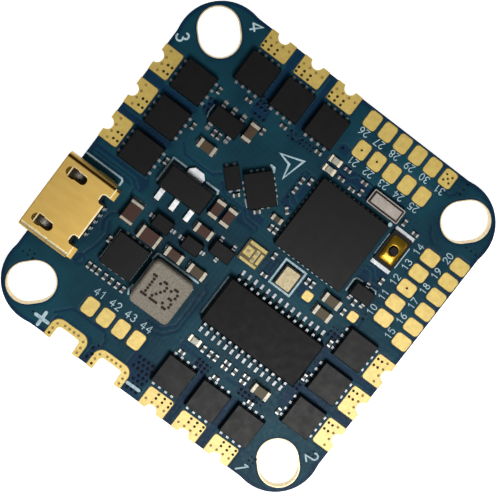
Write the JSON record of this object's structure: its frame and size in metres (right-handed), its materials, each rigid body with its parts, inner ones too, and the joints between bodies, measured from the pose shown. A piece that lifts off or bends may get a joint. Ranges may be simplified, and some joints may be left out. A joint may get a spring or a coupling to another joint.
{
  "type": "flight controller board",
  "caption": "Square flight controller board with built-in motor drivers, corner mounting slots, half-hole motor pads, notched battery pads, a micro USB socket and a boot button.",
  "frame": {"origin": "centre of the four mounting slots, on the underside of the board", "axes": "+Z out of the face that carries the USB socket; +X and +Y along the board's sides, with the USB mouth facing -X"},
  "size_m": [0.0327, 0.0318, 0.0045],
  "materials": {
    "laminate": "satin glass-fibre laminate edge",
    "solder_mask": "semi-gloss ink over copper",
    "gold_plate": "thin gold plating",
    "gold_shell": "formed and gold-plated sheet",
    "black_plastic": "moulded",
    "tinned_lead": "bright tin",
    "amber_film": "translucent film",
    "mould_compound": "fine matt",
    "inductor_composite": "pressed powder, matt",
    "package_ceramic": "matt",
    "lid_metal": "satin",
    "capacitor_ceramic": "smooth",
    "resistor_ceramic": "smooth",
    "light_base": "gold tracks on white board",
    "clear_resin": "clear moulded resin"
  },
  "bodies": {
    "board": {"battery_negative_pad": "gold_plate", "battery_positive_pad": "gold_plate", "button_base": "black_plastic", "button_cover": "amber_film", "button_dome": "tinned_lead", "button_terminals": "tinned_lead", "capacitor_ceramics": "capacitor_ceramic", "capacitor_end_caps": "tinned_lead", "chip_resistor_bodies": "resistor_ceramic", "chip_resistor_ends": "tinned_lead", "circuit_board": "laminate", "crystal_base": "package_ceramic", "crystal_lid": "lid_metal", "diode_bodies": "mould_compound", "gate_driver_chips": "mould_compound", "inductor_core": "inductor_composite", "inductor_terminals": "tinned_lead", "led_strip_pads": "gold_plate", "linear_regulator": "mould_compound", "linear_regulator_leads": "tinned_lead", "logic_regulator": "mould_compound", "main_processor": "mould_compound", "main_processor_leads": "tinned_lead", "memory_chip": "mould_compound", "motion_sensor": "mould_compound", "motor_1_pads": "gold_plate", "motor_1_transistors": "mould_compound", "motor_2_pads": "gold_plate", "motor_2_transistors": "mould_compound", "motor_3_pads": "gold_plate", "motor_3_transistors": "mould_compound", "motor_4_pads": "gold_plate", "motor_4_transistors": "mould_compound", "motor_control_chips": "mould_compound", "mounting_slot_plating": "gold_plate", "overlay_chip": "mould_compound", "overlay_chip_leads": "tinned_lead", "pressure_sensor": "mould_compound", "resonator_base": "package_ceramic", "resonator_lid": "lid_metal", "rgb_light_base": "light_base", "rgb_light_lens": "clear_resin", "sensor_pads": "tinned_lead", "sensor_regulator": "mould_compound", "signal_pads": "gold_plate", "signal_transistor_bodies": "mould_compound", "small_package_leads": "tinned_lead", "solder_mask_bottom": "solder_mask", "solder_mask_top": "solder_mask", "status_light_ends": "tinned_lead", "status_light_lenses": "clear_resin", "step_down_converter": "mould_compound", "step_down_converter_leads": "tinned_lead", "test_point_pads": "gold_plate", "transistor_leads": "tinned_lead", "underside_chip_leads": "tinned_lead", "usb_contacts": "tinned_lead", "usb_insulator": "black_plastic", "usb_shell": "gold_shell"},
    "boot_button": {"button_plunger": "black_plastic"}
  },
  "joints": [
    {"name": "boot_button_press", "type": "slide", "parent": "board", "child": "boot_button", "axis": [0, 0, 1], "range_m": [-0.00015, 0], "stiffness_N_per_m": 4000, "springref_m": 0.00002, "deforming": ["button_dome"]}
  ]
}
